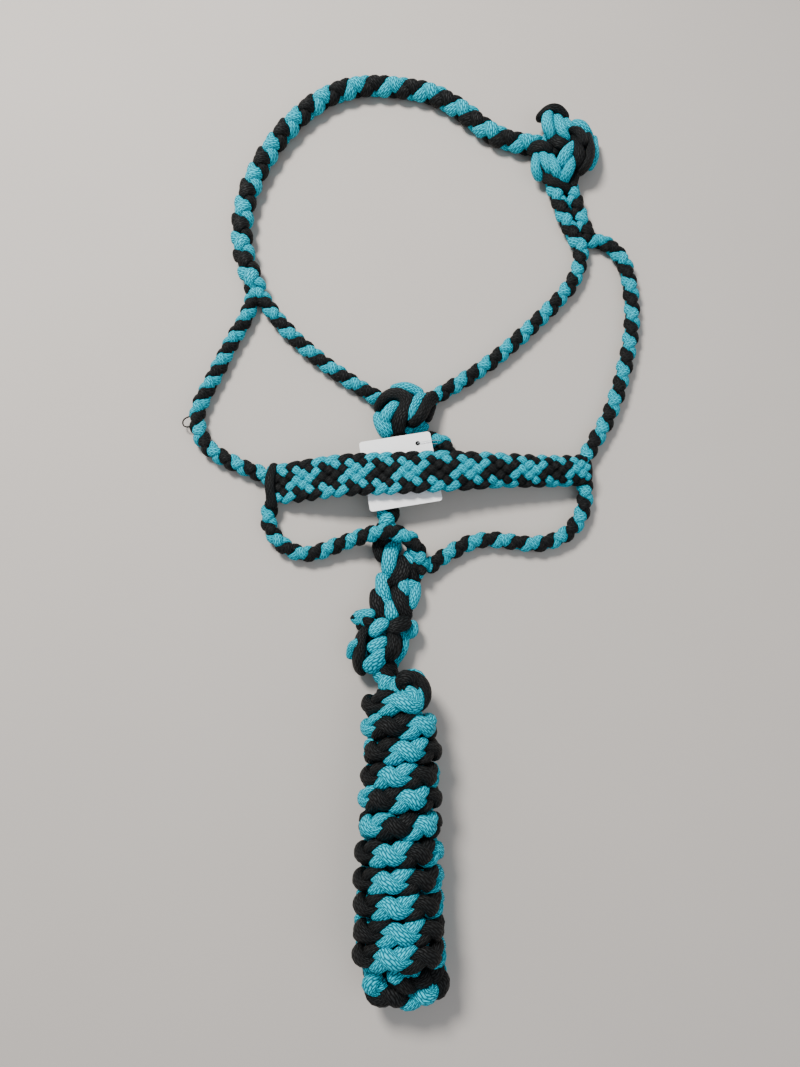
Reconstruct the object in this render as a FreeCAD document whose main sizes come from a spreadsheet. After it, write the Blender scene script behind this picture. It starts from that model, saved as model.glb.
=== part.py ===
"""Rope halter of braided cord with its lead rope wound into a hank.

Millimetres, +Z up.  The halter lies flat and spread open on the plane z = 0:
+Y runs from the chin to the crown, +X to the tie knot.  The origin is the middle of the
halter's own footprint, without the lead rope.
"""
import FreeCAD, Part
import math
import os

import Sketcher

from FreeCAD import Placement, Rotation, Vector

DIMENSIONS = [
    ("crown_braid_dia", 22.5),
    ("fiador_braid_dia", 20.5),
    ("throatlatch_dia", 16.0),
    ("cheek_dia", 16.0),
    ("chin_strap_dia", 15.5),
    ("throat_bight_dia", 16.0),
    ("tie_loop_width", 30.0),
    ("tie_loop_thickness", 16.0),
    ("noseband_width", 41.0),
    ("noseband_thickness", 12.0),
    ("lead_loop_dia", 17.6),
    ("lead_loop_pitch", 19.6),
    ("lead_seat_gap", 0.5),
    ("lead_tail_dia", 15.0),
    ("lead_neck_dia", 17.0),
    ("lead_knot_half_width", 25.0),
    ("lead_knot_half_length", 28.0),
    ("lead_knot_half_height", 19.0),
    ("lead_knot_centre_height", 17.0),
    ("throat_knot_half_width", 27.0),
    ("throat_knot_half_length", 29.0),
    ("throat_knot_half_height", 17.0),
    ("throat_knot_centre_height", 15.0),
    ("tie_knot_half_width", 29.0),
    ("tie_knot_half_length", 36.0),
    ("tie_knot_half_height", 18.0),
    ("tie_knot_centre_height", 16.0),
    ("tag_width", 65.0),
    ("tag_length", 66.0),
    ("tag_thickness", 0.5),
    ("tag_hole_dia", 4.4),
    ("tag_corner_radius", 2.5),
    ("tag_underside_height", 20.9),
    ("tag_thread_dia", 0.8),
]

UP = Vector(0, 0, 1)
BEND_SHARE = 0.45        # how much of the shorter run each arc may take
U_TURN_SHARE = 0.5       # a doubled cord turns on a whole half circle
CUT_BOX_SIZE = 200.0     # larger than any knot it trims

# Routes of the round braids, as the corner points of their centre lines.
CROWN_ROUTE = [(-155, 37), (-168, 68), (-173, 101), (-171, 135), (-161, 169), (-144, 204), (-120, 237),
               (-91, 262), (-56, 274), (-18, 271), (17, 264), (48, 242), (75, 214), (102, 203), (126, 199)]
THROATLATCH_LEFT_ROUTE = [(-155, 39), (-145, 24), (-134, 8), (-119, -10), (-101, -27), (-83, -42),
                          (-65, -55), (-49, -66), (-35, -75)]
THROATLATCH_RIGHT_ROUTE = [(161, 92), (160, 70), (151, 48), (136, 29), (118, 10), (96, -12), (72, -34),
                           (46, -53), (22, -68), (4, -79)]
CHEEK_LEFT_ROUTE = [(-157, 40), (-160, 24), (-166, 6), (-175, -11), (-183, -30), (-191, -50), (-200, -70),
                    (-206, -88), (-203, -107), (-193, -123), (-177, -133), (-160, -141), (-143, -147),
                    (-128, -155)]
CHEEK_RIGHT_ROUTE = [(161, 94), (177, 95), (193, 85), (203, 67), (206, 42), (206, 14), (202, -15),
                     (194, -44), (185, -72), (174, -97), (160, -119), (149, -137)]
CHIN_LEFT_ROUTE = [(-132, -172, 8), (-137, -188, 8), (-130, -206, 8), (-115, -219, 8), (-97, -223, 8),
                   (-78, -216, 9), (-60, -210, 13), (-45, -207, 21), (-31, -206, 28.5),
                   (-17, -208, 28.5), (-5, -214, 25), (1, -226, 18), (1, -240, 13)]
CHIN_RIGHT_ROUTE = [(150, -148, 9), (151, -163, 8), (149, -180, 8), (141, -195, 8), (129, -206, 8),
                    (113, -212, 8), (97, -213, 8), (79, -210, 8), (62, -208, 8), (45, -211, 8),
                    (30, -219, 8), (17, -227, 8), (6, -235, 10)]
FIADOR_ROUTE = [(-14, -101), (-17, -125), (-20, -151), (-25, -175), (-30, -195), (-29, -215)]
THROAT_BIGHT_ROUTE = [(-6, -110), (9, -114), (21, -115), (28, -124), (27, -138), (15, -150), (-6, -156)]
TAG_THREAD_ROUTE = [(21, -118, 14.5), (16.5, -119.3, 22), (8, -121.3, 23), (-1.5, -122.6, 23.3),
                    (-1.5, -122.6, 18.7), (8, -121.6, 18.4), (18, -119.5, 12)]
LEAD_NECK_ROUTE = [(-33, -317, 13), (-31, -329, 13), (-23, -339, 17)]
LEAD_TAIL_ROUTE = [(-32, -293, 14), (-45, -284, 14), (-57, -277, 13)]

# The lead loop: legs side by side, turning about the point where the lead rope hangs.
LEAD_TURN = Vector(-23, -264, 0)
LEAD_LOOP_AXIS = Vector(-0.255, -0.967, 0)
LEAD_LOOP_LEFT_LEG = [(-23, -212), (-23, -231), (-28, -249)]
LEAD_LOOP_RIGHT_LEG = [(-9, -254), (-4, -235), (-4, -218)]

# Oval sections along the flat straps: centre, full width, full thickness, roll in degrees.
TIE_LOOP_SECTIONS = [((134, 170, 10), 1.03, 1.0, 0), ((143, 146, 10), 1.03, 1.0, 0),
                     ((151, 120, 9), 1.0, 0.97, 0), ((160, 92, 8.5), 0.9, 0.95, 0)]
NOSEBAND_SECTIONS = [((-137, -159, 8), 0.93, 1.0, 0), ((-99, -157, 19), 1.0, 1.0, 0),
                     ((-66, -155, 28.6), 1.0, 1.0, 0), ((-26, -154, 29), 1.0, 1.0, 0),
                     ((10, -151, 29), 0.98, 1.0, 0), ((45, -148, 29.6), 0.86, 1.2, 6),
                     ((76, -145, 26), 0.74, 1.4, 12), ((107, -145, 21), 0.67, 1.4, 16),
                     ((133, -143, 17), 0.66, 1.3, 12), ((153, -143, 13), 0.72, 1.2, 6)]

# The hank: middle, half width and half height of its outer shape; it lies on z = 0.
HANK_SECTIONS = [((-17, -336), 26, 24), ((-17, -352), 32, 28), ((-16, -388), 33, 29),
                 ((-17, -433), 34, 30), ((-18, -478), 35.5, 30), ((-18, -518), 37.5, 30),
                 ((-17, -551), 38, 30)]
HANK_END_SECTIONS = [((-17, -551), 38, 30), ((-15, -567), 36, 29), ((-14, -580), 27, 23)]

THROAT_KNOT_PLACE = (-14, -86)
TIE_KNOT_PLACE = (148, 194)
LEAD_KNOT_PLACE = (-31, -301)
TAG_PLACE = (-16.7, -148.8)
TAG_HOLE_PLACE = (-1.0, -122.5)
TAG_TURN = 9.5           # degrees, counterclockwise from above

doc = FreeCAD.newDocument("rope_halter")
sheet = doc.addObject("Spreadsheet::Sheet", "dims")
for row, (alias, value) in enumerate(DIMENSIONS, start=1):
    sheet.set(f"A{row}", alias)
    sheet.set(f"B{row}", str(value))
    sheet.setAlias(f"B{row}", alias)
doc.recompute()

nodes = []


def dim(alias):
    """A driving dimension in millimetres."""
    return float(getattr(sheet, alias))


def keep(obj, label):
    """Register an object as one sub-part of the halter."""
    obj.Label = label
    nodes.append(obj)
    return obj


def lying(route, diameter_alias):
    """Corner points of a braid that lies on the ground."""
    height = dim(diameter_alias) / 2
    return [(x, y, height) for x, y in route]


def rounded_path(corners, shares):
    """Straight runs joined by tangent arcs, and the arcs' radii."""
    edges, radii = [], []
    here = corners[0]
    for before, corner, after, share in zip(corners, corners[1:], corners[2:], shares):
        arriving = (corner - before).normalize()
        leaving = (after - corner).normalize()
        half_turn = arriving.getAngle(leaving) / 2
        setback = share * min((corner - before).Length, (after - corner).Length)
        radius = setback / math.tan(half_turn)
        start = corner - arriving * setback
        end = corner + leaving * setback
        bisector = (leaving - arriving).normalize()
        middle = corner + bisector * (radius / math.cos(half_turn) - radius)
        if (start - here).Length > 1e-6:
            edges.append(Part.LineSegment(here, start).toShape())
        edges.append(Part.Arc(start, middle, end).toShape())
        radii.append(radius)
        here = end
    edges.append(Part.LineSegment(here, corners[-1]).toShape())
    return Part.Wire(edges), radii


def tube(label, route, diameter_alias, shares=None):
    """A round braid or cord, swept along its route."""
    corners = [Vector(*point) for point in route]
    wire, radii = rounded_path(corners, shares or [BEND_SHARE] * (len(corners) - 2))
    line = doc.addObject("Part::Feature", label + "_line")
    line.Shape = wire
    section = doc.addObject("Part::Circle", label + "_section")
    section.setExpression("Radius", f"dims.{diameter_alias} / 2")
    section.Placement = Placement(corners[0], Rotation(UP, corners[1] - corners[0]))
    sweep = doc.addObject("Part::Sweep", label)
    sweep.Sections = [section]
    sweep.Spine = (line, [f"Edge{i + 1}" for i in range(len(wire.Edges))])
    sweep.Solid = True
    doc.recompute()
    expected = math.pi * dim(diameter_alias) ** 2 / 4 * wire.Length
    print(f"{label}: length {wire.Length:.0f}, radii {[round(r) for r in radii]}, "
          f"volume ratio {sweep.Shape.Volume / expected:.3f}")
    return keep(sweep, label)


def oval(label, place, along, across, half_width, half_height):
    """One elliptical section, with half_width and half_height as expressions of the sheet."""
    section = doc.addObject("Part::Ellipse", label)
    section.setExpression("MajorRadius", half_width)
    section.setExpression("MinorRadius", half_height)
    section.Placement = Placement(place, Rotation(across, along.cross(across), along, "ZXY"))
    return section


def loft(label, sections):
    body = doc.addObject("Part::Loft", label)
    body.Sections = sections
    body.Solid = True
    doc.recompute()
    return keep(body, label)


def flat_strap(label, stations, width_alias, thickness_alias):
    """A flat braid: ovals across its route, wide in the plane of rest unless rolled."""
    places = [Vector(*place) for place, _, _, _ in stations]
    sections = []
    for i, (_, wide, thick, roll) in enumerate(stations):
        along = (places[min(i + 1, len(places) - 1)] - places[max(i - 1, 0)]).normalize()
        level = UP.cross(along).normalize()
        across = Rotation(along, roll).multVec(level)
        sections.append(oval(f"{label}_section_{i}", places[i], along, across,
                             f"dims.{width_alias} * {wide / 2}", f"dims.{thickness_alias} * {thick / 2}"))
    return loft(label, sections)


def bundle(label, stations):
    """Outer shape of the wound rope: ovals standing on the ground, one behind the other."""
    sections = []
    for i, ((x, y), half_width, half_height) in enumerate(stations):
        sections.append(oval(f"{label}_section_{i}", Vector(x, y, half_height), Vector(0, -1, 0),
                             Vector(1, 0, 0), f"{half_width} mm", f"{half_height} mm"))
    return loft(label, sections)


def box_at(label, size, corner):
    box = doc.addObject("Part::Box", label)
    box.Length, box.Width, box.Height = size
    box.Placement = Placement(corner, Rotation())
    return box


def cut(label, base, tool):
    result = doc.addObject("Part::Cut", label)
    result.Base, result.Tool = base, tool
    doc.recompute()
    return result


def knot_blank(label, place):
    """The outer shape of a pulled-up knot, flattened where it rests on the ground."""
    lump = doc.addObject("Part::Ellipsoid", label + "_lump")
    lump.setExpression("Radius1", f"dims.{label}_half_height")
    lump.setExpression("Radius2", f"dims.{label}_half_width")
    lump.setExpression("Radius3", f"dims.{label}_half_length")
    lump.Placement = Placement(Vector(*place, 0), Rotation())
    lump.setExpression("Placement.Base.z", f"dims.{label}_centre_height")
    corner = Vector(place[0] - CUT_BOX_SIZE / 2, place[1] - CUT_BOX_SIZE / 2, -CUT_BOX_SIZE)
    ground = box_at(label + "_ground", (CUT_BOX_SIZE,) * 3, corner)
    return cut(label + "_resting", lump, ground)


def knot(label, place):
    return keep(knot_blank(label, place), label)


def lead_loop():
    """Two legs of one braid, doubled back round the point where the lead rope hangs."""
    half_pitch = dim("lead_loop_pitch") / 2
    down = Vector(LEAD_LOOP_AXIS).normalize() * half_pitch
    side = UP.cross(down)
    height = dim("lead_loop_dia") / 2
    left_corner = LEAD_TURN - side + down
    right_corner = LEAD_TURN + side + down
    left_leg = [Vector(x, y, 0) for x, y in LEAD_LOOP_LEFT_LEG]
    right_leg = [Vector(x, y, 0) for x, y in LEAD_LOOP_RIGHT_LEG]
    route = [(p.x, p.y, height) for p in left_leg + [left_corner, right_corner] + right_leg]
    first_turn = len(left_leg) - 1
    shares = [BEND_SHARE] * (len(route) - 2)
    shares[first_turn] = shares[first_turn + 1] = U_TURN_SHARE
    return tube("lead_loop", route, "lead_loop_dia", shares)


def lead_knot():
    """The hitch that ties the lead rope on, hollowed where it hugs the end of the lead loop."""
    blank = knot_blank("lead_knot", LEAD_KNOT_PLACE)
    seat = doc.addObject("Part::Cylinder", "lead_knot_seat")
    seat.setExpression("Radius", "(dims.lead_loop_pitch + dims.lead_loop_dia) / 2 + dims.lead_seat_gap")
    seat.Height = CUT_BOX_SIZE
    seat.Placement = Placement(LEAD_TURN - UP * (CUT_BOX_SIZE / 2), Rotation())
    return keep(cut("lead_knot_seated", blank, seat), "lead_knot")


def hang_tag():
    """A thin card with rounded corners and one punched hole, turned as it lies."""
    body = doc.addObject("PartDesign::Body", "hang_tag")
    plane = next(f for f in body.Origin.OriginFeatures if f.Role == "XY_Plane")
    outline = body.newObject("Sketcher::SketchObject", "tag_outline")
    outline.AttachmentSupport = (plane, [""])
    outline.MapMode = "FlatFace"
    half_width, half_length = dim("tag_width") / 2, dim("tag_length") / 2
    corners = [Vector(-half_width, -half_length, 0), Vector(half_width, -half_length, 0),
               Vector(half_width, half_length, 0), Vector(-half_width, half_length, 0)]
    for start, end in zip(corners, corners[1:] + corners[:1]):
        outline.addGeometry(Part.LineSegment(start, end))
    turn = Rotation(UP, TAG_TURN)
    hole = turn.inverted().multVec(Vector(*TAG_HOLE_PLACE, 0) - Vector(*TAG_PLACE, 0))
    ring = outline.addGeometry(Part.Circle(hole, UP, dim("tag_hole_dia") / 2))
    for side in range(4):
        outline.addConstraint(Sketcher.Constraint("Coincident", side, 2, (side + 1) % 4, 1))
    outline.addConstraint(Sketcher.Constraint("Horizontal", 0))
    outline.addConstraint(Sketcher.Constraint("Vertical", 1))
    outline.addConstraint(Sketcher.Constraint("Horizontal", 2))
    outline.addConstraint(Sketcher.Constraint("Vertical", 3))
    outline.addConstraint(Sketcher.Constraint("Symmetric", 0, 1, 2, 1, -1, 1))
    named = [("DistanceX", (0, 1, 0, 2), dim("tag_width"), "tag_width"),
             ("DistanceY", (1, 1, 1, 2), dim("tag_length"), "tag_length"),
             ("Diameter", (ring,), dim("tag_hole_dia"), "tag_hole_dia")]
    for kind, where, value, alias in named:
        index = outline.addConstraint(Sketcher.Constraint(kind, *where, value))
        outline.setExpression(f"Constraints[{index}]", f"dims.{alias}")
    card = body.newObject("PartDesign::Pad", "tag_card")
    card.Profile = outline
    card.setExpression("Length", "dims.tag_thickness")
    doc.recompute()
    upright = [f"Edge{i + 1}" for i, edge in enumerate(card.Shape.Edges)
               if len(edge.Vertexes) == 2 and abs(edge.tangentAt(edge.FirstParameter).z) > 0.99
               and max(abs(v.X) for v in edge.Vertexes) > half_width - 1]
    rounding = body.newObject("PartDesign::Fillet", "tag_corners")
    rounding.Base = (card, upright)
    rounding.setExpression("Radius", "dims.tag_corner_radius")
    body.Tip = rounding
    body.Placement = Placement(Vector(*TAG_PLACE, dim("tag_underside_height")), turn)
    doc.recompute()
    return keep(body, "hang_tag")


# Halter
tube("crown_braid", lying(CROWN_ROUTE, "crown_braid_dia"), "crown_braid_dia")
knot("tie_knot", TIE_KNOT_PLACE)
flat_strap("tie_loop", TIE_LOOP_SECTIONS, "tie_loop_width", "tie_loop_thickness")
tube("throatlatch_left", lying(THROATLATCH_LEFT_ROUTE, "throatlatch_dia"), "throatlatch_dia")
tube("throatlatch_right", lying(THROATLATCH_RIGHT_ROUTE, "throatlatch_dia"), "throatlatch_dia")
tube("cheek_left", lying(CHEEK_LEFT_ROUTE, "cheek_dia"), "cheek_dia")
tube("cheek_right", lying(CHEEK_RIGHT_ROUTE, "cheek_dia"), "cheek_dia")
flat_strap("noseband", NOSEBAND_SECTIONS, "noseband_width", "noseband_thickness")
tube("chin_strap_left", CHIN_LEFT_ROUTE, "chin_strap_dia")
tube("chin_strap_right", CHIN_RIGHT_ROUTE, "chin_strap_dia")
knot("throat_knot", THROAT_KNOT_PLACE)
tube("fiador_braid", lying(FIADOR_ROUTE, "fiador_braid_dia"), "fiador_braid_dia")
tube("throat_bight", lying(THROAT_BIGHT_ROUTE, "throat_bight_dia"), "throat_bight_dia")
lead_loop()

# Hang tag
hang_tag()
tube("tag_thread", TAG_THREAD_ROUTE, "tag_thread_dia")

# Lead rope
lead_knot()
tube("lead_tail", LEAD_TAIL_ROUTE, "lead_tail_dia")
tube("lead_neck", LEAD_NECK_ROUTE, "lead_neck_dia")
bundle("lead_hank", HANK_SECTIONS)
bundle("lead_hank_end", HANK_END_SECTIONS)

doc.recompute()
for obj in doc.Objects:
    if "Invalid" in obj.State or "Error" in obj.State:
        raise RuntimeError(f"{obj.Label} did not recompute: {obj.State}")
for node in nodes:
    if node.Shape.isNull() or not node.Shape.isValid() or len(node.Shape.Solids) != 1:
        raise RuntimeError(f"{node.Label} is not one valid solid")

os.makedirs("parts", exist_ok=True)
for node in nodes:
    node.Shape.exportStep(f"parts/{node.Label}.step")
whole = Part.makeCompound([node.Shape for node in nodes]).BoundBox
print(f"{len(nodes)} parts, box {whole.XMin:.1f} {whole.YMin:.1f} {whole.ZMin:.1f} "
      f"to {whole.XMax:.1f} {whole.YMax:.1f} {whole.ZMax:.1f}")
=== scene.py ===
"""Rope halter in teal and black braid with its wound lead rope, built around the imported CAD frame.

Lengths in the tables are in millimetres. mm() and MM turn them into metres.
"""

import math

import bpy
import numpy as np
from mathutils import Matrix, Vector


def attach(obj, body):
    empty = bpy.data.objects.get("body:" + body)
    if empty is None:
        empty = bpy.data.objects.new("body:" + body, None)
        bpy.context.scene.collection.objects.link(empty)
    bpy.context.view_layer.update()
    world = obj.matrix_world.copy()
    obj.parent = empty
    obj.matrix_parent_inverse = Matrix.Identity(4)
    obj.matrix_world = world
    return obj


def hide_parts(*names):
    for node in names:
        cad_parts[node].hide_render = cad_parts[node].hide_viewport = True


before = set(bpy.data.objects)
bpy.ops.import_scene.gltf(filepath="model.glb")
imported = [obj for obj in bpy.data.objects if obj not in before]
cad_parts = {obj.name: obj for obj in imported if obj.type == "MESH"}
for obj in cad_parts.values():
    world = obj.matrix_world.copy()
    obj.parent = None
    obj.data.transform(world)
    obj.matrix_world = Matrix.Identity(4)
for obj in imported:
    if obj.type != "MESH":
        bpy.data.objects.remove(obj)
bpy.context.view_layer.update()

MM = 0.001
TEAL, BLACK, CLEAR = "teal", "black", "clear"


def mm(points):
    """Millimetres to metres."""
    return np.array(points, float) * MM


def flat(points, z):
    """Route points that all lie at one height, in millimetres."""
    return [(x, y, z) for x, y in points]


# ---------------------------------------------------------------- camera

camera_data = bpy.data.cameras.new("camera")
camera_data.lens = 27
camera_data.sensor_width = 36
camera_data.clip_start = 0.01
camera = bpy.data.objects.new("camera", camera_data)
bpy.context.scene.collection.objects.link(camera)
camera.location = (-0.017, -0.376, 0.7018)
camera.rotation_euler = (math.radians(14), 0, 0)
bpy.context.scene.camera = camera

# ---------------------------------------------------------------- routes

# The straps', the throat bight's and the tag thread's routes are part.py's. The others are set
# near their CAD solids. The pulled thread on the left cheek (SNAG_ROUTE) has no solid.

CROWN_ROUTE = flat(
    [(-155, 37), (-168, 68), (-173, 101), (-171, 135), (-161, 169), (-144, 204), (-120, 237),
     (-91, 262), (-56, 274), (-18, 271), (17, 264), (48, 242), (75, 214), (102, 203), (126, 199)],
    11.25,
)
THROATLATCH_LEFT_ROUTE = flat(
    [(-155, 39), (-145, 24), (-134, 8), (-119, -10), (-101, -27), (-83, -42), (-65, -55),
     (-49, -66), (-35, -75)],
    8,
)
THROATLATCH_RIGHT_ROUTE = flat(
    [(161, 92), (160, 70), (151, 48), (136, 29), (118, 10), (96, -12), (72, -34), (46, -53),
     (22, -68), (4, -79)],
    8,
)
CHEEK_LEFT_ROUTE = flat(
    [(-157, 40), (-160, 24), (-166, 6), (-175, -11), (-183, -30), (-191, -50), (-200, -70),
     (-206, -88), (-203, -107), (-193, -123), (-177, -133), (-160, -141), (-143, -147),
     (-128, -155)],
    8,
)
CHEEK_RIGHT_ROUTE = flat(
    [(161, 94), (177, 95), (193, 85), (203, 67), (206, 42), (206, 14), (202, -15), (194, -44),
     (185, -72), (174, -97), (160, -119), (149, -137)],
    8,
)
CHIN_LEFT_ROUTE = [
    (-132, -172, 8), (-137, -188, 8), (-130, -206, 8), (-115, -219, 8), (-97, -223, 8),
    (-78, -216, 9), (-60, -210, 13), (-45, -207, 21), (-31, -206, 28.5), (-17, -208, 28.5),
    (-5, -214, 25), (1, -226, 18), (1, -240, 13),
]
CHIN_RIGHT_ROUTE = [
    (150, -148, 9), (151, -163, 8), (149, -180, 8), (141, -195, 8), (129, -206, 8),
    (113, -212, 8), (97, -213, 8), (79, -210, 8), (62, -208, 8), (45, -211, 8), (30, -219, 8),
    (17, -227, 8), (6, -235, 10),
]
FIADOR_ROUTE = flat(
    [(-14, -101), (-17, -125), (-20, -151), (-25, -175), (-30, -195), (-29, -215)], 10.25
)
THROAT_BIGHT_ROUTE = flat(
    [(-6, -110), (9, -114), (21, -115), (28, -124), (27, -138), (15, -150), (-6, -156)], 8
)
SNAG_ROUTE = [(-209, -91, 9), (-216, -92, 8), (-219, -97, 7), (-216, -102, 7), (-209, -101, 8)]
TAG_THREAD_ROUTE = [
    (21, -118, 14.5), (16.5, -119.3, 22), (8, -121.3, 23), (-1.5, -122.6, 23.3),
    (-1.5, -122.6, 18.7), (8, -121.6, 18.4), (18, -119.5, 12),
]
TIE_LEFT_ROUTE = flat([(131, 176), (135, 158), (140, 142), (146, 118), (152, 102), (160, 86)], 9)
TIE_RIGHT_ROUTE = flat([(144, 182), (150, 164), (155, 148), (160, 124), (164, 108), (170, 95)], 9)
LEAD_LOOP_ROUTE = flat(
    [(-23, -208), (-23, -220), (-24, -234), (-29, -250), (-33, -264), (-33, -274), (-27, -283),
     (-18, -280), (-13, -270), (-10, -256), (-4, -236), (-3, -220), (-4, -214)],
    9,
)
LEAD_TAIL_ROUTE = [(-28, -297, 16), (-36, -290, 15), (-45, -284, 14), (-57, -277, 13)]


# ---------------------------------------------------------------- lines

def spline_points(points):
    """The points of a smooth NURBS line through the route, in metres, from Blender's own curve."""
    data = bpy.data.curves.new("route", "CURVE")
    data.dimensions = "3D"
    data.resolution_u = 16
    spline = data.splines.new("NURBS")
    spline.points.add(len(points) - 1)
    for p, co in zip(spline.points, points):
        p.co = (*co, 1)
    spline.order_u = 3
    spline.use_endpoint_u = True
    carrier = bpy.data.objects.new("route", data)
    mesh = bpy.data.meshes.new_from_object(carrier)
    line = np.array([v.co for v in mesh.vertices], float)
    bpy.data.meshes.remove(mesh)
    bpy.data.objects.remove(carrier)
    bpy.data.curves.remove(data)
    return line


def unit(v):
    """Vectors of length one."""
    return v / np.maximum(np.linalg.norm(v, axis=-1, keepdims=True), 1e-12)


class Line:
    """Evenly spaced points down a line, with the ways that are along it, to its right and up.

    guide, where given, takes the points and how far along each is, and gives the way that the
    top of the line faces at each. Without it the top faces up.
    """

    def __init__(self, points, step=1.2 * MM, guide=None):
        raw = spline_points(points)
        gone = np.concatenate([[0], np.cumsum(np.linalg.norm(np.diff(raw, axis=0), axis=1))])
        self.length = gone[-1]
        self.s = np.linspace(0, self.length, max(4, round(self.length / step) + 1))
        self.at = np.stack([np.interp(self.s, gone, raw[:, k]) for k in range(3)], axis=1)
        soft = self.at.copy()
        for _ in range(3):
            soft[1:-1] = (soft[:-2] + 2 * soft[1:-1] + soft[2:]) / 4
        self.along = unit(np.gradient(soft, axis=0))
        top = np.array([(0, 0, 1.0)]) if guide is None else guide(self.at, self.s)
        self.right = unit(np.cross(self.along, top))
        self.up = np.cross(self.right, self.along)


# ---------------------------------------------------------------- strands

AROUND = 14  # points round a strand
SQUARENESS = 2.3  # of a strand's section, 2 being an ellipse
END_LEAST = 0.03  # keeps a strand's domed end from closing to a point
ANGLES = np.arange(AROUND) * 2 * math.pi / AROUND
RING_WIDE = np.sign(np.cos(ANGLES)) * np.abs(np.cos(ANGLES)) ** (2 / SQUARENESS)
RING_THICK = np.sign(np.sin(ANGLES)) * np.abs(np.sin(ANGLES)) ** (2 / SQUARENESS)


class Cordage:
    """Collects the strands of one piece, those of each colour apart."""

    def __init__(self):
        self.strands = {TEAL: [], BLACK: [], CLEAR: []}

    def strand(self, colour, centres, outward, width, thick, closed=False):
        """Adds a tube through the centres, thick along outward and wide across it."""
        n = len(centres)
        if closed:
            around = np.concatenate([centres[-2:], centres, centres[:2]])
            along = unit(np.gradient(around, axis=0)[2:-2])
        else:
            along = unit(np.gradient(centres, axis=0))
        outward = unit(outward - (outward * along).sum(1, keepdims=True) * along)
        side = np.cross(along, outward)
        gone = np.concatenate([[0], np.cumsum(np.linalg.norm(np.diff(centres, axis=0), axis=1))])
        width = np.broadcast_to(width, n).astype(float).copy()
        thick = np.broadcast_to(thick, n).astype(float).copy()
        if not closed:
            from_end = np.minimum(gone, gone[-1] - gone) / (width / 2)
            dome = np.sqrt(np.clip(1 - (1 - np.minimum(from_end, 1)) ** 2, END_LEAST, 1))
            width, thick = width * dome, thick * dome
        ring = (
            centres[:, None]
            + (width / 2)[:, None, None] * RING_WIDE[None, :, None] * side[:, None]
            + (thick / 2)[:, None, None] * RING_THICK[None, :, None] * outward[:, None]
        )
        self.strands[colour].append((ring, gone, closed))

    def make(self, name, body, *nodes):
        """A mesh for each colour that has strands, riding on a body and standing for CAD nodes."""
        made = []
        for colour, strands in self.strands.items():
            if not strands:
                continue
            verts, faces, uvs, base = [], [], [], 0
            for ring, gone, closed in strands:
                n = len(ring)
                verts.append(ring.reshape(-1, 3))
                rows = np.arange(n if closed else n - 1)
                i, j = np.meshgrid(rows, np.arange(AROUND), indexing="ij")
                a, b, jn = i * AROUND, ((i + 1) % n) * AROUND, (j + 1) % AROUND
                quads = np.stack([a + j, b + j, b + jn, a + jn], axis=-1).reshape(-1, 4) + base
                faces += quads.tolist()
                step = gone[-1] / max(n - 1, 1)
                v0, v1 = gone[i], np.where(i + 1 < n, gone[(i + 1) % n], gone[-1] + step)
                u0, u1 = j / AROUND, (j + 1) / AROUND
                uvs.append(
                    np.stack([u0, v0, u0, v1, u1, v1, u1, v0], axis=-1).reshape(-1, 2)
                )
                if not closed:
                    faces.append([base + k for k in range(AROUND)])
                    faces.append([base + (n - 1) * AROUND + k for k in reversed(range(AROUND))])
                    uvs.append(np.zeros((2 * AROUND, 2)))
                base += n * AROUND
            mesh = bpy.data.meshes.new(f"{name}_{colour}")
            mesh.from_pydata(np.concatenate(verts).tolist(), [], faces)
            mesh.uv_layers.new(name="cord_uv").data.foreach_set(
                "uv", np.concatenate(uvs).ravel().astype(np.float32)
            )
            mesh.shade_smooth()
            mesh.materials.append(MATERIALS[colour])
            piece = bpy.data.objects.new(f"{name}_{colour}", mesh)
            bpy.context.scene.collection.objects.link(piece)
            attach(piece, body)
            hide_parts(*nodes)
            made.append(piece)
        return made


# The strands of a round braid: the way that it winds, where it starts round the braid, its colour
BRAID_STRANDS = ((1, 0, TEAL), (-1, 0, TEAL), (1, math.pi, BLACK), (-1, math.pi, BLACK))
# Shares of the braid's diameter: how far out a strand's middle is, its rise over another strand,
# its width and its thickness
BRAID_OUT, BRAID_RISE, BRAID_WIDE, BRAID_THICK = 0.205, 0.12, 0.52, 0.345
BRAID_SWELL = 0.10  # how much wider a strand is where it goes over
UNEVEN, UNEVEN_PER_METRE = 0.035, 173  # share that strands vary by, and how fast along a braid


def round_braid(cordage, line, diameter, pitch, hand=1, phase=0.0, cycles=None):
    """A round braid of four strands, two teal and two black: each colour winds round as a stripe.

    hand is the way that the stripes wind, and phase (metres) slides them along.
    cycles, where given, says how many times round the stripes are at each point of the line.
    """
    turn = 2 * math.pi * ((line.s - phase) / pitch if cycles is None else cycles)
    weave = np.cos(2 * turn)
    for way, start, colour in BRAID_STRANDS:
        over = way * weave
        uneven = 1 + UNEVEN * np.sin(line.s * UNEVEN_PER_METRE + start * 2 + way)
        radius = diameter * (BRAID_OUT + BRAID_RISE * over) * uneven
        angle = hand * (way * turn + start)
        out = np.cos(angle)[:, None] * line.up + np.sin(angle)[:, None] * line.right
        cordage.strand(
            colour,
            line.at + radius[:, None] * out,
            out,
            diameter * BRAID_WIDE * (1 + BRAID_SWELL * over) * uneven,
            diameter * BRAID_THICK,
        )


def lobe(cordage, colour, points, width, thick, centre=None):
    """A stretch of cord, listed in millimetres, flat towards the centre or the floor."""
    line = Line(mm(points), step=1.0 * MM)
    if centre is None:
        out = line.up
    else:
        out = unit(line.at - mm(centre))
    cordage.strand(colour, line.at, out, width * MM, thick * MM)


# ---------------------------------------------------------------- materials

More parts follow.
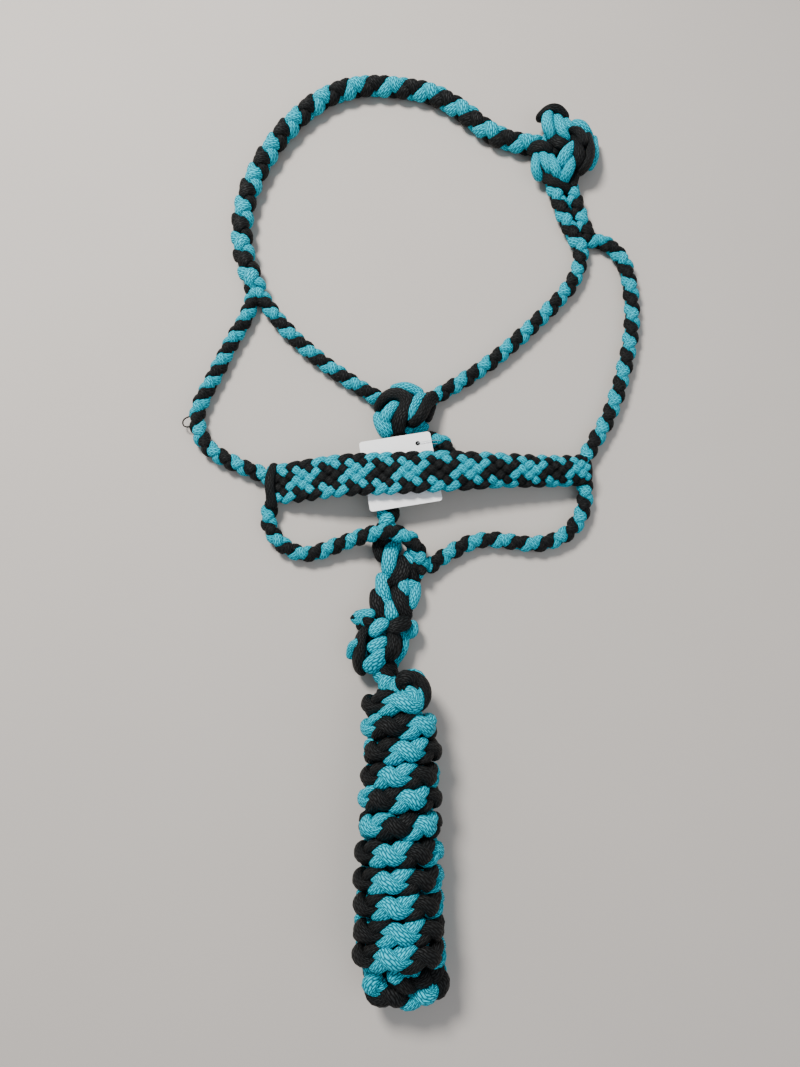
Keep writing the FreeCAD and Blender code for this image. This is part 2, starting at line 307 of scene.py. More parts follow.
class Graph:
    """A short way to write a material's nodes."""

    def __init__(self, name):
        self.material = bpy.data.materials.new(name)
        self.material.use_nodes = True
        self.tree = self.material.node_tree
        self.shader = self.tree.nodes["Principled BSDF"]

    def node(self, kind, **values):
        node = self.tree.nodes.new(kind)
        for key, value in values.items():
            setattr(node, key, value)
        return node

    def put(self, socket, value):
        if isinstance(value, bpy.types.NodeSocket):
            self.tree.links.new(value, socket)
        else:
            socket.default_value = value

    def math(self, operation, *values):
        node = self.node("ShaderNodeMath", operation=operation)
        for socket, value in zip(node.inputs, values):
            self.put(socket, value)
        return node.outputs[0]

    def mix(self, factor, a, b):
        node = self.node("ShaderNodeMix", data_type="RGBA")
        self.put(node.inputs["Factor"], factor)
        self.put(node.inputs["A"], a)
        self.put(node.inputs["B"], b)
        return node.outputs["Result"]

    def noise(self, vector, scale, detail=3.0):
        node = self.node("ShaderNodeTexNoise")
        self.put(node.inputs["Vector"], vector)
        node.inputs["Scale"].default_value = scale
        node.inputs["Detail"].default_value = detail
        return node.outputs["Fac"]

    def vector(self, x, y, z=0.0):
        node = self.node("ShaderNodeCombineXYZ")
        for socket, value in zip(node.inputs, (x, y, z)):
            self.put(socket, value)
        return node.outputs[0]

    def bump(self, height, strength, distance):
        node = self.node("ShaderNodeBump")
        node.inputs["Strength"].default_value = strength
        node.inputs["Distance"].default_value = distance
        self.put(node.inputs["Height"], height)
        return node.outputs["Normal"]


YARN_RIDGES = 20.0  # round a strand
ZIGZAGS_PER_METRE = 190.0
GRAINS_PER_METRE = 210.0
FIBRES_PER_METRE = 620.0
YARN_LEAN = 0.55  # how many ridges a zigzag shifts the yarns by
YARN_DRIFT = 1.4  # how many ridges they wander by
FIBRE_RELIEF = 0.8  # of the yarns' height
PAINTED_HIGHLIGHT_FROM, PAINTED_HIGHLIGHT_GAIN = 0.55, 3.2  # the tone at which the painted highlight on the crests begins, and how fast it grows


def cord_material(name, groove_painted_shade, body, crest_painted_highlight):
    """Braided cord: short slanting yarns, brick-wise beside each other, with fibres over them.

    Its first colour is painted shade at the bottom of the relief, the second the cord's own colour,
    the third a painted highlight at the relief's top.
    """
    g = Graph(name)
    uv = g.node("ShaderNodeUVMap", uv_map="cord_uv")
    split = g.node("ShaderNodeSeparateXYZ")
    g.put(split.inputs[0], uv.outputs["UV"])
    u, v = split.outputs[0], split.outputs[1]
    drift = g.noise(g.vector(g.math("MULTIPLY", u, 4.0), g.math("MULTIPLY", v, 90.0)), 1.0, 2.0)
    lean = g.math("PINGPONG", g.math("MULTIPLY", v, ZIGZAGS_PER_METRE), 1.0)
    place = g.math("ADD", g.math("MULTIPLY", u, YARN_RIDGES), g.math("MULTIPLY", lean, YARN_LEAN))
    place = g.math("ADD", place, g.math("MULTIPLY", drift, YARN_DRIFT))
    yarn = g.math("ABSOLUTE", g.math("SINE", g.math("MULTIPLY", place, math.pi)))
    brick = g.math("MULTIPLY", g.math("PINGPONG", g.math("FLOOR", place), 1.0), 0.5)
    step = g.math("ADD", g.math("MULTIPLY", v, GRAINS_PER_METRE), brick)
    grain = g.math("ABSOLUTE", g.math("SINE", g.math("MULTIPLY", step, math.pi)))
    height = g.math(
        "MULTIPLY",
        g.math("POWER", yarn, 0.7),
        g.math("ADD", g.math("MULTIPLY", g.math("POWER", grain, 0.6), 0.75), 0.25),
    )
    fibre = g.noise(
        g.vector(g.math("MULTIPLY", u, 70.0), g.math("MULTIPLY", v, FIBRES_PER_METRE)), 1.0, 4.0
    )
    patch = g.noise(g.vector(g.math("MULTIPLY", u, 2.0), g.math("MULTIPLY", v, 45.0)), 1.0, 2.0)
    # Painted shade and highlight: the yarns' relief height darkens the grooves and lightens the
    # crests; the fibre noise adds the cord's own tone.
    shade = g.math("ADD", g.math("MULTIPLY", height, 0.7), g.math("MULTIPLY", fibre, 0.5))
    lower = g.mix(g.math("MINIMUM", g.math("MULTIPLY", shade, 1.5), 1.0), groove_painted_shade, body)
    above = g.math("SUBTRACT", shade, PAINTED_HIGHLIGHT_FROM)
    top = g.math("MAXIMUM", g.math("MULTIPLY", above, PAINTED_HIGHLIGHT_GAIN), 0.0)
    colour = g.mix(
        g.math("MINIMUM", g.math("MULTIPLY", top, g.math("ADD", patch, 0.5)), 1.0), lower, crest_painted_highlight
    )
    g.put(g.shader.inputs["Base Color"], colour)
    g.put(g.shader.inputs["Roughness"], g.math("SUBTRACT", 0.70, g.math("MULTIPLY", height, 0.26)))
    relief = g.math("ADD", height, g.math("MULTIPLY", fibre, FIBRE_RELIEF))
    g.put(g.shader.inputs["Normal"], g.bump(relief, 0.9, 0.0007))
    g.shader.inputs["Specular IOR Level"].default_value = 0.14
    return g.material


def card_material():
    """Smooth white card with a faint fibre."""
    g = Graph("tag_card")
    place = g.node("ShaderNodeTexCoord").outputs["Object"]
    fibre = g.noise(place, 900.0, 4.0)
    patch = g.noise(place, 60.0, 2.0)
    colour = g.mix(patch, (0.97, 0.97, 0.98, 1), (1.0, 1.0, 1.0, 1))
    g.put(g.shader.inputs["Base Color"], colour)
    g.put(g.shader.inputs["Roughness"], g.math("ADD", 0.38, g.math("MULTIPLY", fibre, 0.12)))
    g.put(g.shader.inputs["Normal"], g.bump(fibre, 0.12, 0.0002))
    return g.material


def thread_material():
    """Clear plastic thread."""
    g = Graph("tag_thread")
    place = g.node("ShaderNodeTexCoord").outputs["Object"]
    colour = g.mix(g.noise(place, 300.0), (0.8, 0.85, 0.88, 1), (0.95, 0.97, 0.98, 1))
    g.put(g.shader.inputs["Base Color"], colour)
    g.shader.inputs["Roughness"].default_value = 0.12
    g.shader.inputs["Transmission Weight"].default_value = 0.7
    g.shader.inputs["IOR"].default_value = 1.5
    return g.material


def floor_material():
    """Plain pale floor with a slight change of shade."""
    g = Graph("floor")
    place = g.node("ShaderNodeTexCoord").outputs["Object"]
    colour = g.mix(g.noise(place, 6.0, 4.0), (0.48, 0.445, 0.41, 1), (0.51, 0.475, 0.44, 1))
    g.put(g.shader.inputs["Base Color"], colour)
    g.shader.inputs["Roughness"].default_value = 0.85
    return g.material


MATERIALS = {
    # Each cord's colours: painted shade for its grooves, its own colour, a painted highlight for its
    # crests.
    TEAL: cord_material(
        "teal_cord", (0.0, 0.02, 0.034, 1), (0.0, 0.21, 0.295, 1), (0.0, 0.64, 0.82, 1)
    ),
    BLACK: cord_material(
        "black_cord", (0.0003, 0.0003, 0.0004, 1), (0.0010, 0.0012, 0.0013, 1),
        (0.013, 0.0145, 0.015, 1),
    ),
    CLEAR: thread_material(),
}

# ---------------------------------------------------------------- straps

STRAPS = (
    # name, route, diameter, stripe pitch, hand, phase
    ("crown_braid", CROWN_ROUTE, 22.5, 38.7, 1, 12.8),
    ("throatlatch_left", THROATLATCH_LEFT_ROUTE, 16.0, 26.9, 1, 4.9),
    ("throatlatch_right", THROATLATCH_RIGHT_ROUTE, 16.0, 27.5, 1, 6.6),
    ("cheek_left", CHEEK_LEFT_ROUTE, 16.0, 25.3, -1, 4.9),
    ("cheek_right", CHEEK_RIGHT_ROUTE, 16.0, 30.7, 1, 17.8),
    ("chin_strap_left", CHIN_LEFT_ROUTE, 15.5, 24.4, 1, 16.5),
    ("chin_strap_right", CHIN_RIGHT_ROUTE, 15.5, 25.7, 1, 17.0),
    ("fiador_braid", FIADOR_ROUTE, 20.5, 31.0, 1, 0.0),
)
FINE_STEP = 0.5 * MM  # between the points of a thread
SNAG_DIAMETER = 1.3 * MM

for name, route, diameter, pitch, hand, phase in STRAPS:
    line = Line(mm(route))
    cordage = Cordage()
    round_braid(cordage, line, diameter * MM, pitch * MM, hand, phase * MM)
    if name == "cheek_left":
        snag = Line(mm(SNAG_ROUTE), step=FINE_STEP)
        cordage.strand(BLACK, snag.at, snag.up, SNAG_DIAMETER, SNAG_DIAMETER)
    teal, black = cordage.make(name, "halter", name)

cordage = Cordage()
round_braid(cordage, Line(mm(THROAT_BIGHT_ROUTE)), 16 * MM, 24 * MM)
lobe(cordage, BLACK, [(-11, -112, 12), (-3, -118, 15.5), (4, -124, 15.5), (10, -132, 12)], 12, 7)
cordage.make("throat_bight", "halter", "throat_bight")

# ---------------------------------------------------------------- tie loop

cordage = Cordage()
for route, hand, phase in ((TIE_LEFT_ROUTE, 1, 4), (TIE_RIGHT_ROUTE, -1, 9)):
    round_braid(cordage, Line(mm(route)), 17 * MM, 30 * MM, hand, phase * MM)
cordage.make("tie_loop", "halter", "tie_loop")

# ---------------------------------------------------------------- noseband

NOSEBAND = (
    # x, y, z, width, radius of the curl across, roll in degrees
    (-137, -158, 8, 38, 90, 0), (-118, -157, 13, 40, 90, 0), (-99, -156, 19, 41, 90, 0),
    (-66, -154, 28.6, 41, 90, 0), (-26, -153, 29, 41, 80, 0), (10, -151, 30, 40.5, 45, 0),
    (45, -150, 30, 39, 20, 6), (76, -149.5, 28.5, 36.5, 14, 10), (107, -149.5, 25, 34.5, 12, 12),
    (133, -148, 21, 33, 12, 10), (153, -145, 17, 32, 13, 6),
)
NOSE_CROSSES = (-151, -103, -55, -9, 45, 98, 146, 190)  # x of the middles of the teal crosses
FIRST_CROSS = 3 / 16  # of a cycle, where the first cross comes
NOSE_STRANDS = 8
NOSE_STRAND_LEAST, NOSE_STRAND_GROWTH = 3.9, 0.085  # mm wide, and more for each mm of the band
NOSE_STRAND_THICK, NOSE_STRAND_LIFT = 5.2 * MM, 2.6 * MM
NOSE_STRAND_SWELL = 0.1  # how much wider a strand is where it goes over
EDGE_ROUNDING = 0.35  # how far a strand's turn at the edge is a curve and not a corner
CYCLE_SMOOTHINGS = 12
NOSE_END_LOBES = (  # points, width, thickness: over the left end, then inside the right and left
    ([(-130, -138, 9), (-134, -149, 16), (-134, -166, 17), (-130, -182, 12)], 9, 7),
    ([(151, -132, 7), (154, -143, 9), (151, -156, 7)], 12, 10),
    ([(-128, -150, 7), (-134, -162, 9), (-132, -176, 7)], 12, 10),
)


def noseband(cordage):
    """A flat braid of eight strands that run from edge to edge, over and under one another."""
    line = Line(mm([row[:3] for row in NOSEBAND]))
    marks = np.array([row[0] for row in NOSEBAND]) * MM
    width, radius, roll = (
        np.interp(line.at[:, 0], marks, [row[k] for row in NOSEBAND]) for k in (3, 4, 5)
    )
    roll, radius = np.radians(roll), radius * MM
    right = np.cos(roll)[:, None] * line.right - np.sin(roll)[:, None] * line.up
    top = np.sin(roll)[:, None] * line.right + np.cos(roll)[:, None] * line.up
    cycle = np.interp(
        line.at[:, 0],
        np.array(NOSE_CROSSES) * MM,
        FIRST_CROSS + np.arange(len(NOSE_CROSSES)) / 2,
    )
    for _ in range(CYCLE_SMOOTHINGS):
        cycle[1:-1] = (cycle[:-2] + 2 * cycle[1:-1] + cycle[2:]) / 4
    strand_width = (NOSE_STRAND_LEAST + NOSE_STRAND_GROWTH * width) * MM
    half = (width * MM - strand_width) / 2
    for k in range(NOSE_STRANDS):
        x = (cycle + k / NOSE_STRANDS) % 1
        across = 1 - 2 * np.abs(2 * x - 1)
        curve = np.sin(across * math.pi / 2)
        across = curve * EDGE_ROUNDING + across * (1 - EDGE_ROUNDING)
        near = (x + 0.5) % 1 - 0.5
        far = x - 0.5
        height = np.where(x < 0.5, 1, -1) * np.cos(16 * math.pi * x)
        height = np.where(np.abs(near) < 1 / 16, np.cos(8 * math.pi * (near + 1 / 16)), height)
        height = np.where(np.abs(far) < 1 / 16, -np.cos(8 * math.pi * (far + 1 / 16)), height)
        bend = across * half / radius
        out = np.cos(bend)[:, None] * top + np.sin(bend)[:, None] * right
        centres = (
            line.at
            + (radius * np.sin(bend))[:, None] * right
            - (radius * (1 - np.cos(bend)))[:, None] * top
            + (height * NOSE_STRAND_LIFT)[:, None] * out
        )
        colour = TEAL if k % 4 < 2 else BLACK
        swelling = strand_width * (1 + NOSE_STRAND_SWELL * height)
        cordage.strand(colour, centres, out, swelling, NOSE_STRAND_THICK)


cordage = Cordage()
noseband(cordage)
for points, width, thick in NOSE_END_LOBES:
    lobe(cordage, BLACK, points, width, thick)
cordage.make("noseband", "halter", "noseband")

# ---------------------------------------------------------------- knots

# Lobes are a colour, the points of a strand's middle and its width.
THROAT_CENTRE = (-14, -88, 12)
THROAT_LOBES = (
    (BLACK, [(-38, -88, 10), (-36, -82, 18), (-28, -76, 24), (-18, -76, 27), (-10, -83, 28),
             (-13, -93, 28), (-17, -101, 27), (-19, -107, 24), (-19, -111, 13)], 13),
    (BLACK, [(17, -71, 11), (8, -81, 20), (5, -92, 25), (-1, -101, 24), (-10, -104, 18)], 13),
    (BLACK, [(13, -78, 9), (10, -91, 15), (6, -99, 14)], 9),
    (TEAL, [(-26, -68, 13), (-16, -65, 17), (-5, -68, 19), (4, -73, 15)], 9),
    (TEAL, [(6, -73, 14), (-1, -83, 24), (-6, -91, 27), (-7, -98, 25), (-8, -100, 17)], 12),
    (TEAL, [(-18, -84, 22), (-26, -91, 26), (-30, -99, 25), (-32, -102, 17)], 12),
    (TEAL, [(-38, -91, 13), (-37, -101, 18), (-32, -110, 19), (-28, -113, 11)], 13),
    (TEAL, [(-34, -97, 19), (-29, -106, 23), (-24, -110, 14)], 11),
    (TEAL, [(-7, -104, 15), (-12, -110, 16), (-15, -112, 10)], 7),
    (TEAL, [(8, -99, 9), (2, -106, 13), (-6, -110, 10)], 8),
)
TIE_CENTRE = (148, 192, 13)
TIE_LOBES = (
    (BLACK, [(123, 228, 12), (129, 232, 21), (137, 234, 24), (145, 231, 23), (151, 224, 16)], 13),
    (TEAL, [(134, 237, 17), (129, 218, 27), (130, 204, 29), (137, 200, 20)], 12),
    (TEAL, [(140, 229, 18), (142, 211, 28), (145, 201, 29), (150, 198, 19)], 12),
    (TEAL, [(149, 224, 18), (152, 212, 25), (157, 211, 18)], 8),
    (TEAL, [(156, 220, 17), (162, 217, 23), (169, 212, 22), (175, 206, 14)], 9),
    (BLACK, [(154, 210, 18), (159, 206, 27), (164, 196, 29), (165, 186, 25)], 12),
    (BLACK, [(158, 205, 18), (159, 185, 28), (160, 172, 29), (158, 167, 18)], 13),
    (BLACK, [(171, 212, 14), (173, 192, 22), (171, 177, 23), (164, 166, 20), (158, 166, 12)], 13),
    (TEAL, [(179, 213, 9), (179, 193, 14), (177, 179, 14), (171, 174, 9)], 8),
    (TEAL, [(161, 195, 20), (149, 181, 29), (143, 171, 30), (141, 167, 20)], 12),
    (TEAL, [(156, 182, 20), (151, 165, 27), (146, 156, 24), (144, 155, 12)], 11),
    (BLACK, [(112, 195, 11), (119, 193, 20), (127, 188, 25), (134, 184, 19)], 12),
    (BLACK, [(133, 204, 18), (138, 192, 27), (146, 188, 26), (154, 190, 18)], 12),
    (BLACK, [(130, 189, 16), (136, 185, 23), (141, 183, 18)], 9),
    (TEAL, [(122, 190, 12), (117, 174, 19), (118, 164, 18), (124, 162, 9)], 10),
    (TEAL, [(126, 188, 16), (126, 174, 23), (130, 165, 23), (135, 165, 13)], 10),
    (TEAL, [(132, 182, 18), (134, 166, 26), (138, 159, 23), (142, 158, 12)], 10),
    (BLACK, [(123, 171, 9), (131, 158, 16), (140, 151, 17), (153, 147, 12)], 10),
    (BLACK, [(159, 168, 14), (155, 156, 17), (153, 148, 12)], 10),
)
LEAD_CENTRE = (-31, -301, 15)
LEAD_LOBES = (
    (BLACK, [(-9, -282, 18), (-19, -288, 29), (-28, -292, 24)], 14),
    (BLACK, [(-24, -291, 20), (-21, -301, 26), (-24, -311, 27), (-29, -316, 18)], 13),
    (TEAL, [(-28, -283, 22), (-36, -289, 30), (-42, -295, 22)], 14),
    (TEAL, [(-28, -299, 20), (-36, -304, 30), (-43, -308, 20)], 11.5),
    (TEAL, [(-29, -309, 20), (-35, -317, 30), (-46, -325, 16)], 16),
    (TEAL, [(-8, -282, 12), (-4, -289, 14), (-9, -295, 15), (-18, -294, 10)], 9),
    (TEAL, [(-13, -296, 12), (-17, -303, 14), (-19, -307, 9)], 7),
    (BLACK, [(-44, -288, 16), (-51, -296, 22), (-51, -308, 22), (-53, -320, 18),
             (-49, -327, 9)], 15),
    (TEAL, [(-49, -301, 26), (-56, -303, 21), (-58, -307, 17), (-59, -314, 10)], 8),
    (BLACK, [(-34, -318, 14), (-29, -326, 20), (-24, -334, 18)], 12),
    (TEAL, [(-21, -314, 10), (-22, -319, 13), (-25, -324, 10)], 7),
    (BLACK, [(-49, -281, 14), (-43, -284, 21), (-39, -287, 18)], 9),
)
TRUNK_LOBES = (
    (BLACK, [(-31, -202, 10), (-37, -211, 12), (-36, -222, 12), (-31, -229, 9)], 10.5),
    (TEAL, [(-22, -210, 12), (-25, -222, 17), (-27, -233, 17), (-27, -242, 11)], 13.5),
    (BLACK, [(-15, -224, 12), (-12, -236, 18), (-18, -244, 18), (-23, -253, 11)], 14),
    (TEAL, [(-10, -221, 12), (-6, -231, 15), (-1, -237, 10)], 10.5),
    (TEAL, [(-32, -239, 10), (-33, -250, 15), (-31, -260, 14), (-27, -267, 9)], 12.5),
    (TEAL, [(-15, -242, 13), (-14, -252, 19), (-13, -261, 12)], 10),
    (TEAL, [(-4, -247, 9), (-3, -256, 14), (-5, -264, 14), (-9, -271, 10)], 10),
    (BLACK, [(-11, -229, 14), (-6, -239, 17), (-4, -247, 11)], 11),
    (TEAL, [(-11, -220, 12), (-6, -228, 19), (-3, -233, 14)], 11),
    (TEAL, [(3, -229, 9), (0, -237, 14), (-2, -245, 9)], 10),
    (BLACK, [(-20, -251, 12), (-18, -263, 18), (-14, -273, 18), (-10, -282, 12)], 12.5),
    (BLACK, [(-36, -253, 9), (-38, -264, 15), (-35, -275, 15), (-31, -284, 10)], 13.5),
    (TEAL, [(-24, -264, 13), (-24, -274, 18), (-23, -283, 14)], 14),
)
TAIL_LOBES = (
    (TEAL, [(-58, -283, 12), (-54, -278, 16), (-46, -276, 18), (-38, -277, 18)], 9),
    (BLACK, [(-54, -288, 10), (-49, -285, 15), (-42, -282, 18)], 9),
)
LOBE_THICK = 9.5
# The rings inside a knot: colour, share of the knot's half size, height
FILLERS = ((BLACK, 0.80, 7), (TEAL, 0.84, 11), (BLACK, 0.62, 15), (BLACK, 0.30, 10))
FILLER_INSET = 5  # taken off the half size before the share
FILLER_WAVE, FILLER_LIFT, FILLER_SHIFT = 0.05, 2.0, 1.7  # unevenness round a ring, and its start
FILLER_WIDE, FILLER_THICK = 11, 9
FILLER_POINTS = 72


def knot(name, body, centre, lobes, half):
    """A knot from its visible lobes, over rings of cord that fill its sides and underside."""
    cordage = Cordage()
    for colour, points, width in lobes:
        lobe(cordage, colour, points, width, LOBE_THICK, centre)
    turns = np.linspace(0, 2 * math.pi, FILLER_POINTS + 1)[:-1]
    for number, (colour, share, level) in enumerate(FILLERS):
        wave = 1 + FILLER_WAVE * np.sin(3 * turns + number)
        x = centre[0] + (half[0] - FILLER_INSET) * share * wave * np.cos(turns)
        y = centre[1] + (half[1] - FILLER_INSET) * share * wave * np.sin(turns)
        z = level + FILLER_LIFT * np.sin(2 * turns + FILLER_SHIFT * number)
        centres = mm(np.stack([x, y, z], axis=1))
        out = unit(centres - mm(centre))
        cordage.strand(colour, centres, out, FILLER_WIDE * MM, FILLER_THICK * MM, closed=True)
    return cordage.make(name, body, name)


knot("throat_knot", "halter", THROAT_CENTRE, THROAT_LOBES, (27, 29))
knot("tie_knot", "halter", TIE_CENTRE, TIE_LOBES, (29, 36))
hitch = knot("lead_knot", "lead_rope", LEAD_CENTRE, LEAD_LOBES, (25, 28))

cordage = Cordage()
round_braid(cordage, Line(mm(LEAD_TAIL_ROUTE)), 14 * MM, 24 * MM)
for colour, points, width in TAIL_LOBES:
    lobe(cordage, colour, points, width, 7.5)
hitch += cordage.make("lead_tail", "lead_rope", "lead_tail")

# ---------------------------------------------------------------- lead loop

cordage = Cordage()
round_braid(cordage, Line(mm(LEAD_LOOP_ROUTE)), 16.5 * MM, 29 * MM)
for colour, points, width in TRUNK_LOBES:
    lobe(cordage, colour, points, width, 8)
cordage.make("lead_loop", "halter", "lead_loop")

# ---------------------------------------------------------------- lead rope, wound as a hank

HANK_WIDE = (  # y, centre x, half width, half height of the winding
    (-336, -17, 29, 25), (-352, -17, 32, 28), (-388, -16, 33, 29), (-433, -17, 34, 30),
    (-478, -18, 35.5, 30), (-518, -18, 37.5, 30), (-551, -17, 38, 30),
)
WRAP_FRONTS = (-353, -371, -390, -409, -426, -446, -466, -485.5, -503, -521, -538)  # y of turns
WRAP_TEALS = (-14, 5, -11, -22, -8, 7, -24, -24, -20, -16, -22)  # x of each turn's teal on top
LAST_DROP = 15  # from the last turn's front to where its back would end
PER_TURN = 14  # route points in a turn
FIRST_POINT, LAST_POINT = 2, 9  # the first point kept of the first turn, the last of the last
WRAP_SPREAD = 1.02  # for the spline, which cuts inside the route's points
ROPE = 20.5
ROPE_DRAWN = 1.1 * ROPE  # its strands' braid, which closes up the turns
LEAD_PITCH = 46.0


def hank_at(y):
    """Centre x, half width and half height of the winding at y."""
    rows = HANK_WIDE[::-1]
    return [np.interp(y, [r[0] for r in rows], [r[k] for r in rows]) for k in (1, 2, 3)]


LEAD_START = [(-31, -314, 15), (-30, -324, 13), (-28, -334, 14), (-26, -345, 21)]
LEAD_CORE = [
    (-26, -362, 28), (-25, -400, 29), (-26, -440, 30), (-27, -480, 30), (-28, -520, 30),
    (-34, -546, 28), (-40, -558, 26), (-33, -568, 26), (-12, -570, 26), (7, -567, 26),
    (13, -553, 27), (2, -540, 29), (-8, -520, 30), (-9, -480, 30), (-8, -440, 30), (-7, -400, 29),
    (-8, -362, 30), (-14, -350, 33), (-16, -341, 34), (-13, -333, 34), (-6, -331, 34),
    (-2, -338, 35),
]
LEAD_END = [
    (-24, -549, 11), (-12, -551, 11), (-1, -553, 15), (3, -555, 23), (-2, -556, 31),
    (-13, -555, 36), (-26, -554, 36),
]


def lead_wraps():
    """The turns' points: level over the hank's top, then on to the next turn underneath it."""
    points = []
    last = len(WRAP_FRONTS) - 1
    nexts = (*WRAP_FRONTS[1:], WRAP_FRONTS[-1] - LAST_DROP)
    for number, (front, below) in enumerate(zip(WRAP_FRONTS, nexts)):
        for k in range(FIRST_POINT if number == 0 else 0, PER_TURN):
            if number == last and k > LAST_POINT:
                break
            share = k / PER_TURN
            angle = 2 * math.pi * share
            back = max(0, 2 * share - 1)
            y = front * (1 - back) + below * back
            centre, wide, high = hank_at(y)
            wide, high = (wide - ROPE / 2) * WRAP_SPREAD, (high - ROPE / 2) * WRAP_SPREAD
            points.append(
                (centre + wide * math.cos(angle), y, high + ROPE / 2 + high * math.sin(angle))
            )
    return points


wraps = lead_wraps()
LEAD_ROUTE = LEAD_START + LEAD_CORE + wraps + LEAD_END
FIRST_TURN_FROM, FIRST_TURN_TO = 0.35, 0.8  # metres along the rope, between which it begins
TURNING_OVER = 0.03  # metres over which the top goes from up to out
ENDING_LAST, ENDING_OVER = 0.075, 0.04  # metres: the last stretch, and how fast its top changes
END_TOP = (0, -1.0, 0.3)


def lead_top(at, gone):
    """The rope's top: up in the core, out from the hank's middle in the turns, END_TOP at last."""
    first = mm(wraps[0])
    late = (gone > FIRST_TURN_FROM) & (gone < FIRST_TURN_TO)
    start = gone[late][np.argmin(np.linalg.norm(at[late] - first, axis=1))]
    middle = np.array([hank_at(y / MM) for y in at[:, 1]]) * MM
    outward = np.stack([at[:, 0] - middle[:, 0], 0 * gone, at[:, 2] - middle[:, 2]], axis=1)
    turning = np.clip((gone - start) / TURNING_OVER, 0, 1)[:, None]
    ending = np.clip((gone - gone[-1] + ENDING_LAST) / ENDING_OVER, 0, 1)[:, None]
    top = (1 - turning) * np.array([(0, 0, 1.0)]) + turning * unit(outward)
    return unit((1 - ending) * top + ending * np.array([END_TOP]))


def lead_cycles(line):
    """How far round the stripes are, so that each turn's teal is where WRAP_TEALS puts it."""
    pitch = LEAD_PITCH * MM
    places, rounds = [0.0], [0.5]

    def mark(point, half):
        """Teal (0.0) or black (0.5) on top at the place on the rope that is nearest the point."""
        place = line.s[np.argmin(np.linalg.norm(line.at - mm(point), axis=1))]
        rounds.append(round(rounds[-1] + (place - places[-1]) / pitch - half) + half)
        places.append(place)

    mark((-10, -334, 34), 0.5)
    for front, x in zip(WRAP_FRONTS, WRAP_TEALS):
        _, _, high = hank_at(front)
        mark((x, front, 2 * high - ROPE / 2), 0.0)
    rounds.append(rounds[-1] + (line.length - places[-1]) / pitch)
    places.append(line.length)
    return np.interp(line.s, places, rounds)


line = Line(mm(LEAD_ROUTE), step=2.0 * MM, guide=lead_top)
cordage = Cordage()
round_braid(cordage, line, ROPE_DRAWN * MM, LEAD_PITCH * MM, cycles=lead_cycles(line))
teal, black = cordage.make("lead_rope", "lead_rope", "lead_neck", "lead_hank", "lead_hank_end")

# ---------------------------------------------------------------- hang tag and thread

CARD_POINTS = 132  # round the card's edge
CARD_RINGS = 10  # from the hole to the edge
CORNER_STEPS, CORNER_DEGREES = 7, 15


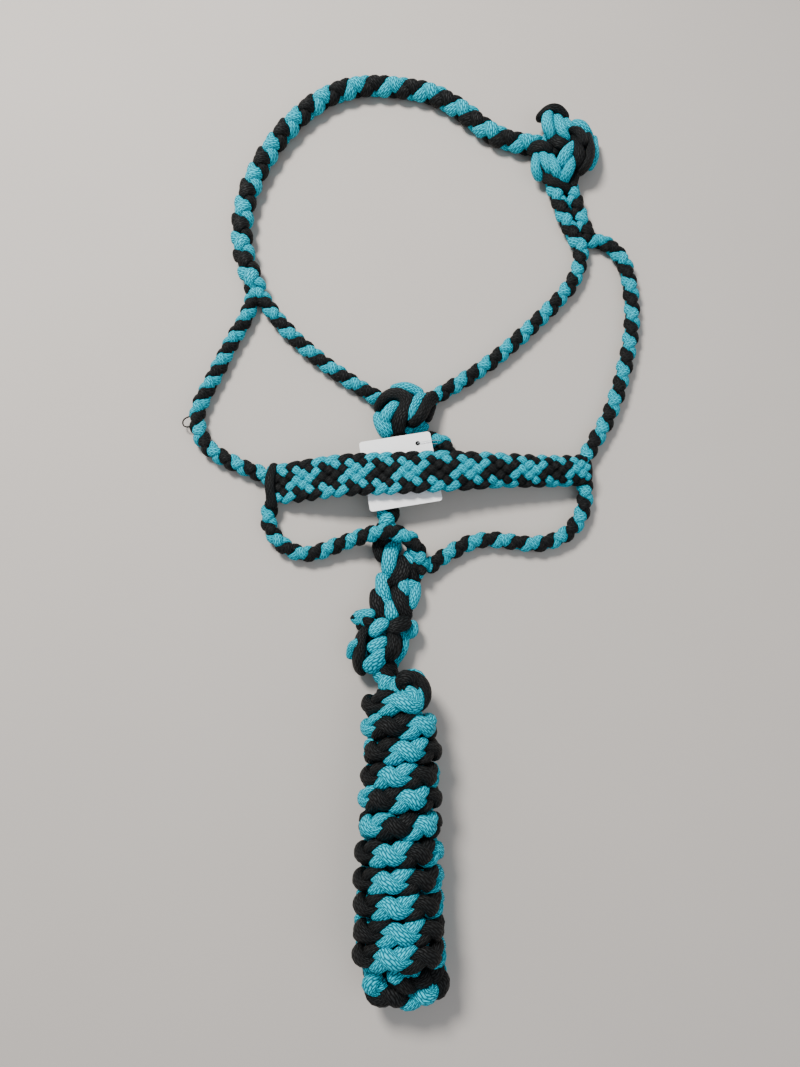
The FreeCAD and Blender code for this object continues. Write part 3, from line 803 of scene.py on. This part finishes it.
def hang_tag():
    """The card: flat, with rounded corners and a punched hole."""
    centre, turn = mm((-16.7, -148.8, 20.9)), math.radians(9.5)
    wide, deep, thick, corner = 65 * MM, 66 * MM, 0.5 * MM, 2.5 * MM
    hole = mm((-1, -122.5, 0))
    hole_radius = 2.2 * MM
    outline = []
    for cx, cy, start in ((1, 1, 0), (-1, 1, 90), (-1, -1, 180), (1, -1, 270)):
        for k in range(CORNER_STEPS):
            a = math.radians(start + CORNER_DEGREES * k)
            outline.append((cx * (wide / 2 - corner) + corner * math.cos(a),
                            cy * (deep / 2 - corner) + corner * math.sin(a)))
    outline.append(outline[0])
    corners = np.array(outline)
    gone = np.concatenate([[0], np.cumsum(np.linalg.norm(np.diff(corners, axis=0), axis=1))])
    count, rings = CARD_POINTS, CARD_RINGS
    even = np.linspace(0, gone[-1], count + 1)[:-1]
    outline = [[np.interp(g, gone, corners[:, k]) for k in (0, 1)] for g in even]
    spin = np.array([[math.cos(turn), -math.sin(turn)], [math.sin(turn), math.cos(turn)]])
    outer = np.array(outline) @ spin.T + centre[:2]
    angles = [math.atan2(y - hole[1], x - hole[0]) for x, y in outer]
    inner = np.array([(hole[0] + hole_radius * math.cos(a), hole[1] + hole_radius * math.sin(a))
                      for a in angles])
    verts, faces = [], []
    for level in (0, thick):
        for r in range(rings + 1):
            share = (r / rings) ** 1.5
            verts += [(*(inner[i] * (1 - share) + outer[i] * share), centre[2] + level)
                      for i in range(count)]
    layer = (rings + 1) * count
    for r in range(rings):
        for i in range(count):
            n = (i + 1) % count
            a, b, c, d = r * count + i, r * count + n, (r + 1) * count + n, (r + 1) * count + i
            faces.append((a, b, c, d))
            faces.append((layer + d, layer + c, layer + b, layer + a))
    for i in range(count):
        n = (i + 1) % count
        faces.append((i, layer + i, layer + n, n))
        a, b = rings * count + i, rings * count + n
        faces.append((a, b, layer + b, layer + a))
    mesh = bpy.data.meshes.new("hang_tag_card")
    mesh.from_pydata(verts, [], faces)
    mesh.materials.append(card_material())
    piece = bpy.data.objects.new("hang_tag_card", mesh)
    bpy.context.scene.collection.objects.link(piece)
    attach(piece, "hang_tag")
    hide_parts("hang_tag")


hang_tag()

THREAD_DIAMETER = 0.6 * MM
thread = Line(mm(TAG_THREAD_ROUTE), step=FINE_STEP)
cordage = Cordage()
cordage.strand(CLEAR, thread.at, thread.up, THREAD_DIAMETER, THREAD_DIAMETER)
cordage.make("tag_thread", "halter", "tag_thread")

# ---------------------------------------------------------------- floor, light

FLOOR_HALF = 6  # metres
floor_mesh = bpy.data.meshes.new("floor")
signs = ((-1, -1), (1, -1), (1, 1), (-1, 1))
floor_corners = [(FLOOR_HALF * x, FLOOR_HALF * y, 0) for x, y in signs]
floor_mesh.from_pydata(floor_corners, [], [(0, 1, 2, 3)])
floor_mesh.materials.append(floor_material())
floor = bpy.data.objects.new("floor", floor_mesh)
bpy.context.scene.collection.objects.link(floor)


def area_light(name, place, target, size, power, colour):
    """A round soft light that faces its target."""
    data = bpy.data.lights.new(name, "AREA")
    data.shape = "DISK"
    data.size = size
    data.energy = power
    data.color = colour
    light = bpy.data.objects.new(name, data)
    light.location = place
    light.rotation_euler = (Vector(target) - Vector(place)).to_track_quat("-Z", "Y").to_euler()
    bpy.context.scene.collection.objects.link(light)


area_light("key", (-0.7, 0.7, 1.5), (0, -0.1, 0), 0.55, 56, (1.0, 0.97, 0.93))
area_light("fill", (0.9, -0.9, 1.4), (0, -0.1, 0), 1.4, 8, (0.93, 0.96, 1.0))

world = bpy.data.worlds.new("world")
world.use_nodes = True
world.node_tree.nodes["Background"].inputs["Color"].default_value = (0.9, 0.93, 1.0, 1)
world.node_tree.nodes["Background"].inputs["Strength"].default_value = 0.45
bpy.context.scene.world = world

# ---------------------------------------------------------------- update

bpy.context.view_layer.update()
